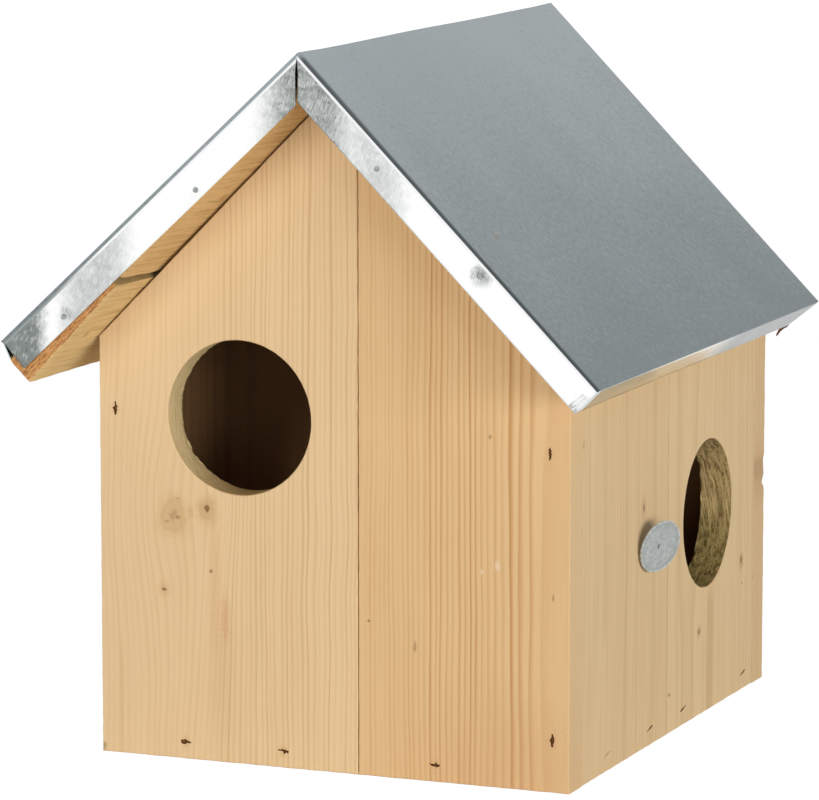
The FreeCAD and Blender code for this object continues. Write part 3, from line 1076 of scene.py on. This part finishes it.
def roof_sections(side):
    """Sections of the upper and lower boards, anticlockwise as distance down and out of the slope."""
    end = UPPER_END - ROOF_JOINT[side]
    start = UPPER_END + ROOF_JOINT[side]
    eave = ROOF_END[side]
    upper = [
        (RIDGE_CONTACT, -RIDGE_CONTACT), (ROOF_THICK, -ROOF_THICK), (end, -ROOF_THICK), (end, 0),
        (RIDGE_SETBACK, 0),
    ]
    lower = [(start, 0), (start, -ROOF_THICK), (eave, -ROOF_THICK), (eave, 0)]
    return {"upper": upper, "lower": lower}


def roof_boards():
    piths = {"upper": (75, -75), "lower": (250, -60)}
    knot_places = {
        (LEFT, "upper"): ((95, 160, 2.6, 1.0), (60, 20, 6, 0.9)),
        (LEFT, "lower"): ((196, 174, 2.2, 0.9), (200, -40, 5, 0.9)),
        (RIGHT, "upper"): ((70, -80, 6, 0.9),),
        (RIGHT, "lower"): ((195, 30, 5, 0.9),),
    }
    for side in (LEFT, RIGHT):
        face = slope_face(side)
        for number, (level, section) in enumerate(roof_sections(side).items()):
            node = f"roof_{SIDE_NAME[side]}_{level}_board"
            seed = 60 + 4 * side + number
            knots = knot_places[side, level]
            material = sawn_wood("pine_" + node, face, ROUGH_PINE[level], piths[level], float(seed), knots)
            roof_board(node, side, section, material, seed)


def lip_rows(side, edge, radius, inward):
    """Rows of one gable lip and its fold as y and drop, from the lip's free edge up to the top."""
    rows = [(edge, drop) for drop in spaced(-GABLE_LIP[side], -radius, LIP_STEPS)[:-1]]
    for turn in spaced(0, math.pi / 2, FOLD_STEPS):
        rows.append((edge + inward * radius * (1 - math.cos(turn)), -radius * (1 - math.sin(turn))))
    return rows


def sheet_rows(side):
    """Rows across the sheet as y and drop below its slope, from the front lip's edge to the back lip's."""
    near = lip_rows(side, SHEET_LOW.y, FOLD_RADIUS, 1)
    far = lip_rows(side, SHEET_HIGH.y, BACK_FOLD, -1)
    return near + [(y, 0.0) for y in top_rows()[1:-1]] + far[::-1]


def top_rows():
    """Places along the ridge of the rows on top of the sheet, between the two folds."""
    return spaced(SHEET_LOW.y + FOLD_RADIUS, SHEET_HIGH.y - BACK_FOLD, TOP_STEPS)


def skewed(y, down):
    """Place along the ridge after the roof's rear edge is pulled forward toward the eave."""
    share = (y - SHEET_LOW.y) / (SHEET_HIGH.y - SHEET_LOW.y)
    return y - REAR_SKEW * share * down / SHEET_LENGTH


def back_nails():
    """Places of the nails in the back lip as x and z."""
    places = []
    for side in (LEFT, RIGHT):
        for down in BACK_NAIL_DOWN:
            places.append(on_slope(side, down, -ROOF_THICK / 2, ROOF_PITCH, BOARD_RIDGE))
    return places


def dented_lip(point, y, down, drop):
    """A point of a gable lip, pushed in round the nails and rippled."""
    nails = [Vector(place) for place in FRONT_NAILS] if y < 0 else back_nails()
    depth = sum(NAIL_DENT * math.exp(-((place - point).length / DENT_RADIUS) ** 2) for place in nails)
    ripple = noise.noise(Vector((point.x * 42, point.y * 42, y))) + 1
    depth += LIP_RIPPLE * ripple * min(1.0, -drop / 0.006)
    return Vector((point.x, skewed(y, down) + (depth if y < 0 else -depth), point.y))


def waved_top(point, y, down):
    """A point on top of the sheet, sunk in shallow waves that fade toward its edges."""
    margin = min(y - SHEET_LOW.y, SHEET_HIGH.y - y, SHEET_LENGTH - EAVE_FOLD - down)
    wave = noise.noise(Vector((point.x * 14, y * 11, 3))) + 1
    sunk = TOP_WAVE * wave * max(0.0, min(1.0, margin / 0.03))
    return Vector((point.x, skewed(y, down), point.y - sunk))


def sheet_grid(bm, grid, material_of):
    """Quads over a grid of vertices, with a material for each row."""
    for i, (row, following) in enumerate(zip(grid, grid[1:])):
        for (a, b), (d, c) in zip(zip(row, row[1:]), zip(following, following[1:])):
            bm.faces.new((a, b, c, d)).material_index = material_of(i)


def slit_width(side, drop):
    """Half the gap between the two front lips at the ridge, widest a quarter of the way down."""
    share = max(0.0, (-drop - FOLD_RADIUS) / (GABLE_LIP[side] - FOLD_RADIUS))
    return RIDGE_SLIT / 2 * min(1.0, share * 4) * (1.1 - 0.4 * share)


def lip_end(side, y, drop):
    """How far a row of a gable lip reaches: the left one is short and the rear corners are cut."""
    if y > 0:
        return SHEET_LENGTH + drop * REAR_LIP_SLANT
    if side == LEFT:
        return SHEET_LENGTH - LEFT_LIP_SHORT * min(1.0, -drop / FOLD_RADIUS)
    return SHEET_LENGTH


def sheet_half(bm, side, ridge):
    """One slope of the sheet with its gable lips."""
    rows = sheet_rows(side)
    pitch = SHEET_PITCH[side]
    grid = []
    for y, drop in rows:
        on_top = drop > -1e-9
        start = -drop * math.tan(pitch) + slit_width(side, drop) / math.cos(pitch)
        end = SHEET_LENGTH - EAVE_FOLD if on_top else lip_end(side, y, drop)
        row = []
        for down in spaced(start, end, SHEET_COLUMNS):
            point = on_slope(side, down, drop, pitch, ridge)
            place = waved_top(point, y, down) if on_top else dented_lip(point, y, down, drop)
            row.append(bm.verts.new(place))
        grid.append(row if side == RIGHT else row[::-1])
    sheet_grid(bm, grid, lambda i: row_metal(side, rows[i], rows[i + 1]))


def row_metal(side, first, second):
    """Metal between two rows: 0 on top, 1 on the lips and 3, the painted highlight, along the front bend."""
    drop = (first[1] + second[1]) / 2
    front = first[0] < 0
    highlight_top, highlight_foot = HIGHLIGHT_BEND[side]
    if front and highlight_foot < drop < highlight_top:
        return 3
    if drop < -FOLD_RADIUS or (not front and drop < -BACK_FOLD):
        return 1
    return 0


def eave_strip(bm, side, ridge):
    """Lip along an eave: upright with its rear corner cut on the right, short and leaning on the left."""
    length = RIGHT_LIP if side == RIGHT else LEFT_LIP
    lean = 0.0 if side == RIGHT else LEFT_LEAN
    cut = REAR_CUT if side == RIGHT else 0.0
    profile = []
    for turn in spaced(0, math.pi / 2, EAVE_FOLD_STEPS):
        down = SHEET_LENGTH - EAVE_FOLD + EAVE_FOLD * math.sin(turn)
        profile.append((down, -EAVE_FOLD * (1 - math.cos(turn)), 0.0))
    for share in spaced(0, 1, EAVE_LIP_STEPS)[1:]:
        fall = (length - EAVE_FOLD) * share
        profile.append((SHEET_LENGTH + fall * math.sin(lean), -EAVE_FOLD - fall * math.cos(lean), share))
    ys = top_rows()
    grid = []
    for down, drop, share in profile:
        row = []
        for y in ys:
            shortened = ys[0] + (y - ys[0]) * (ys[-1] - cut * share - ys[0]) / (ys[-1] - ys[0])
            ripple = EAVE_RIPPLE * share * abs(noise.noise(Vector((y * 24, share * 2, side))))
            at = on_slope(side, down - ripple, drop, SHEET_PITCH[side], ridge)
            row.append(bm.verts.new((at.x, skewed(shortened, down), at.y)))
        grid.append(row if side == LEFT else row[::-1])
    sheet_grid(bm, grid, lambda i: 0 if i < EAVE_FOLD_STEPS - 1 else 2)


def corner_tab(bm, ridge):
    """End of the right lip, turned over the front corner and pressed flat in two folds."""
    tabs = (
        (0.0004, ((0.224, -0.007), (0.2232, -0.0168), (0.2206, -0.0168), (0.2218, -0.007))),
        (0.0006, ((0.2258, -0.0065), (0.2258, -0.0166), (0.224, -0.0166), (0.2246, -0.0065))),
    )
    for proud, corners in tabs:
        points = [on_slope(RIGHT, down, drop, ROOF_PITCH, ridge) for down, drop in corners]
        face = bm.faces.new([bm.verts.new((p.x, SHEET_LOW.y - proud, p.y)) for p in points])
        # the tabs take the bend's painted highlight metal
        face.material_index = 3
        face.normal_update()
        if face.normal.y > 0:
            face.normal_flip()


def roof_sheet():
    """The bent sheet with its lips, as thick as its metal."""
    ridge = SHEET_HIGH.z
    bm = bmesh.new()
    for side in (LEFT, RIGHT):
        sheet_half(bm, side, ridge)
        eave_strip(bm, side, ridge)
    corner_tab(bm, ridge)
    bmesh.ops.remove_doubles(bm, verts=bm.verts, dist=0.00002)
    metals = [zinc_top(), zinc_lip(), zinc_eave(), zinc_bend_highlight()]
    piece = add_piece("roof_sheet_visual", bm, metals, "house", ["roof_sheet"], repair=False)
    solid = piece.modifiers.new("gauge", "SOLIDIFY")
    solid.thickness = SHEET_THICK
    solid.offset = -1.0


def nail_profile(length):
    """Radius and height of a nail with a dished head, from its tip outward."""
    return [
        (0.0001, -length), (0.0008, -length + 0.003), (0.0008, -0.0001), (0.0013, 0.0), (0.0015, 0.0002),
        (0.0014, 0.0004), (0.0011, 0.00048), (0.0006, 0.0003), (0.0002, 0.00026),
    ]


def sheet_nails():
    """Nails through the lips, one piece each, the first standing for the whole group."""
    metal = worn_metal("nail_zinc", NAIL_ZINC, 700, 0.42)
    places = [(x, SHEET_LOW.y, z, -1) for x, z in FRONT_NAILS]
    downs = BACK_NAIL_DOWN + BACK_NAIL_DOWN
    places += [(p.x, skewed(SHEET_HIGH.y, down), p.y, 1) for p, down in zip(back_nails(), downs)]
    for i, (x, y, z, outward) in enumerate(places):
        nodes = ["sheet_nails"] if i == 0 else []
        seat = (x, y - outward * NAIL_SEAT, z)
        axis = (0, outward, 0)
        profile = nail_profile(NAIL_LENGTH)
        lathe(f"sheet_nail_{i + 1}", profile, seat, axis, NAIL_SIDES, metal, "house", nodes)


def splinter():
    """Sliver torn from the lower edge of the right roof boards, near the back."""
    path = (
        (0.146, 0.1478, 0.205, 0.0016), (0.1458, 0.1484, 0.203, 0.0014), (0.1452, 0.149, 0.2012, 0.0012),
        (0.1436, 0.1498, 0.2, 0.0018), (0.1418, 0.15, 0.1989, 0.0016), (0.1399, 0.15, 0.1974, 0.0019),
        (0.1386, 0.15, 0.1956, 0.0018), (0.1377, 0.15, 0.1941, 0.0014),
    )
    spokes = [(math.cos(turn), 0.7 * math.sin(turn)) for turn in (0.3, 1.7, 3, 4.6)]
    rings = [[(x, y + radius * u, z + radius * v) for u, v in spokes] for x, y, z, radius in path]
    tube("eave_splinter", rings, splinter_wood(), "house")


# Tag

def tag():
    """Plain pressed disc with a rolled rim, and the nail that it turns on."""
    joint = frame["joints"][0]
    centre = Vector(joint["pos_m"])
    axis = Vector(joint["axis"])
    disc = [
        (0.00096, 0.0), (0.0138, 0.0), (0.0143, 0.0002), (0.0145, 0.0007), (0.0143, 0.0012), (0.0139, 0.0015),
        (0.0135, 0.00135), (0.0132, 0.001), (0.006, 0.00097), (0.004, 0.0009), (0.003, 0.001),
        (0.00096, 0.001),
    ]
    pressed = tag_metal(centre)
    lathe("tag_disc_visual", disc, centre, axis, TAG_SIDES, pressed, "tag", ["tag_disc"])
    seat = centre + axis * TAG_NAIL_SEAT
    metal = worn_metal("tag_nail_zinc", TAG_NAIL_ZINC, 600, 0.45)
    nail = nail_profile(TAG_NAIL_LENGTH)
    lathe("tag_nail_visual", nail, seat, axis, NAIL_SIDES, metal, "house", ["tag_nail"])


def staples():
    """The frame's own staples, in rusty wire."""
    metal = worn_metal("staple_wire", RUSTY_WIRE, 900, 0.8, metallic=0.0)
    for name, node in frame["nodes"].items():
        if name.endswith("_staples"):
            node.data.materials.clear()
            node.data.materials.append(metal)


# Studio

def area_lamp(name, place, target, width, height, power):
    lamp = bpy.data.lights.new(name, "AREA")
    lamp.shape = "RECTANGLE"
    lamp.size = width
    lamp.size_y = height
    lamp.energy = power
    holder = add_object(name, lamp)
    holder.location = place
    holder.rotation_euler = (Vector(target) - Vector(place)).to_track_quat("-Z", "Y").to_euler()
    holder.visible_glossy = False


def seen_directly(g):
    """1 for rays from the camera, mirrors and glass."""
    camera_ray, glossy, through = (
        g.node("LightPath", {}, f"Is {kind} Ray") for kind in ("Camera", "Glossy", "Transmission")
    )
    return g.math("MAXIMUM", g.math("MAXIMUM", camera_ray, glossy), through)


def floor_material():
    """Pale floor that looks white but keeps a soft shadow."""
    g = new_material("studio_floor")
    bounce = g.node("BsdfDiffuse", {"Color": BOUNCE_GREY})
    shade = g.node("BsdfDiffuse", {"Color": SHADE_GREY})
    glow = g.node("Emission", {"Strength": FLOOR_GLOW})
    seen = g.node("AddShader", {0: shade, 1: glow})
    choice = g.node("MixShader", {0: seen_directly(g), 1: bounce, 2: seen})
    g.put(g.tree.nodes["Material Output"].inputs["Surface"], choice)
    return g.owner


def studio_floor():
    bm = bmesh.new()
    bmesh.ops.create_grid(bm, x_segments=1, y_segments=1, size=FLOOR_HALF)
    floor = add_mesh("studio_floor", bm, [floor_material()])
    floor.location.z = -FLOOR_DROP


def studio_light():
    """Even light from all round, with broad low lamps at the front, at the right and behind."""
    g = Graph(bpy.data.worlds.new("studio"))
    bpy.context.scene.world = g.owner
    background = g.tree.nodes["Background"]
    g.put(background.inputs["Color"], (1, 1, 1))
    g.put(background.inputs["Strength"], seen_directly(g) * (1 - AMBIENT) + AMBIENT)
    area_lamp("key", (-0.3, -2.4, 0.34), (0, 0, 0.26), 2.2, 0.6, 30)
    area_lamp("fill", (2.3, -1.2, 0.28), (0, 0, 0.22), 2.6, 0.8, 52)
    area_lamp("rear", (-4.6, 5.1, 0.5), (0, 0, 0.22), 6, 1.8, 320)


def camera():
    """The photograph's view."""
    lens = bpy.data.cameras.new("camera")
    lens.lens = LENS
    lens.sensor_width = 36
    lens.clip_end = 100
    eye = add_object("camera", lens)
    eye.location = EYE
    eye.rotation_euler = (math.radians(90 - EYE_DOWN), 0.0, math.radians(EYE_TURN))
    bpy.context.scene.camera = eye


def main():
    pit = torn_pit()
    gable_inside = chamber_shade_wood("pine_gable_inside", FRONT, 71)
    side_inside = chamber_shade_wood("pine_side_inside", RIGHT_SIDE, 74)
    front_wall(pit, gable_inside)
    back_wall(pit, gable_inside)
    right_wall(pit, side_inside)
    left_wall(pit, side_inside)
    floor_boards(pit)
    roof_boards()
    roof_sheet()
    sheet_nails()
    splinter()
    tag()
    staples()
    studio_floor()
    studio_light()
    camera()
    bpy.context.scene.view_settings.view_transform = "Standard"


main()
